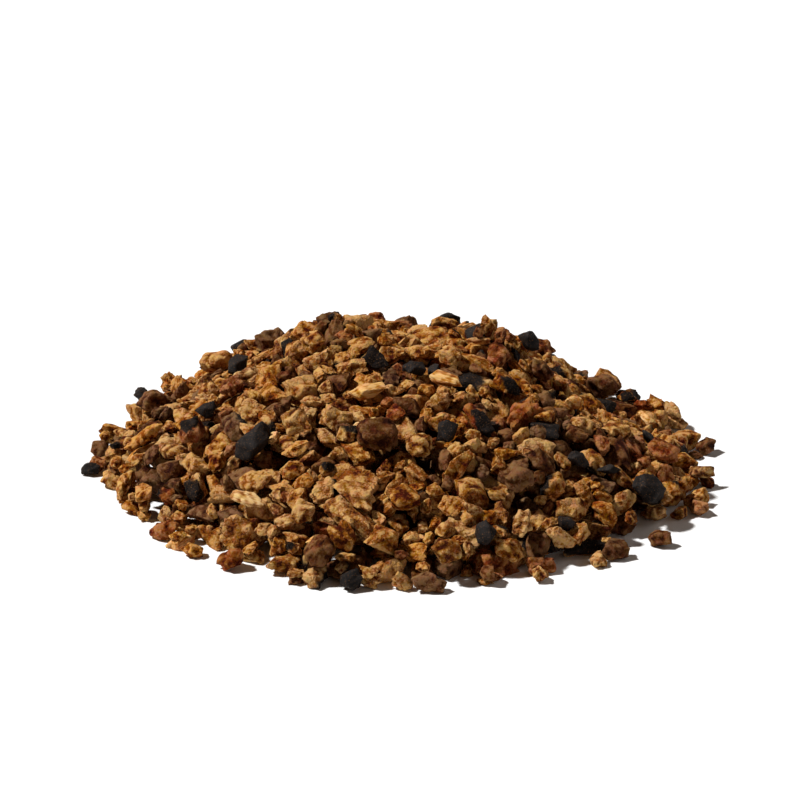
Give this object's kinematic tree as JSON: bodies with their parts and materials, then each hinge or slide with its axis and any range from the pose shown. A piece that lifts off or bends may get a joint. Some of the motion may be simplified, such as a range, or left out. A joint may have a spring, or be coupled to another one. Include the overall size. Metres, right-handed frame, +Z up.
{
  "type": "heap of ground chaga",
  "caption": "Poured heap of coarsely ground chaga: angular amber, brown and black fungus granules with a few pale wood chips.",
  "frame": {"origin": "on the surface it rests on, under the middle of its bounding box", "axes": "+X runs to the right across the heap as the picture shows it, -Y is its front, +Z is up"},
  "size_m": [0.107, 0.1024, 0.0257],
  "materials": {
    "mixed_grind": "matte, crumbly",
    "amber_flesh": "matte, corky",
    "rust_flesh": "matte, corky",
    "umber_flesh": "matte, dense",
    "black_crust": "dull, charred",
    "pale_wood": "matte, fibrous"
  },
  "bodies": {
    "root": {"amber_granule_01": "amber_flesh", "amber_granule_02": "amber_flesh", "amber_granule_03": "amber_flesh", "amber_granule_04": "amber_flesh", "amber_granule_05": "amber_flesh", "amber_granule_06": "amber_flesh", "amber_granule_07": "amber_flesh", "amber_granule_08": "amber_flesh", "amber_granule_09": "amber_flesh", "amber_granule_10": "amber_flesh", "amber_granule_11": "amber_flesh", "amber_granule_12": "amber_flesh", "amber_granule_13": "amber_flesh", "amber_granule_14": "amber_flesh", "amber_granule_15": "amber_flesh", "amber_granule_16": "amber_flesh", "crust_chunk_01": "black_crust", "crust_chunk_02": "black_crust", "crust_chunk_03": "black_crust", "crust_chunk_04": "black_crust", "crust_chunk_05": "black_crust", "crust_chunk_06": "black_crust", "crust_chunk_07": "black_crust", "crust_chunk_08": "black_crust", "crust_chunk_09": "black_crust", "crust_chunk_10": "black_crust", "crust_chunk_11": "black_crust", "crust_chunk_12": "black_crust", "crust_chunk_13": "black_crust", "heap": "mixed_grind", "pale_chip_01": "pale_wood", "pale_chip_02": "pale_wood", "pale_chip_03": "pale_wood", "pale_chip_04": "pale_wood", "pale_chip_05": "pale_wood", "pale_chip_06": "pale_wood", "pale_chip_07": "pale_wood", "rust_granule_01": "rust_flesh", "rust_granule_02": "rust_flesh", "rust_granule_03": "rust_flesh", "rust_granule_04": "rust_flesh", "rust_granule_05": "rust_flesh", "rust_granule_06": "rust_flesh", "rust_granule_07": "rust_flesh", "rust_granule_08": "rust_flesh", "rust_granule_09": "rust_flesh", "rust_granule_10": "rust_flesh", "umber_granule_01": "umber_flesh", "umber_granule_02": "umber_flesh", "umber_granule_03": "umber_flesh", "umber_granule_04": "umber_flesh", "umber_granule_05": "umber_flesh", "umber_granule_06": "umber_flesh", "umber_granule_07": "umber_flesh", "umber_granule_08": "umber_flesh", "umber_granule_09": "umber_flesh", "umber_granule_10": "umber_flesh", "umber_granule_11": "umber_flesh", "umber_granule_12": "umber_flesh"}
  },
  "joints": []
}
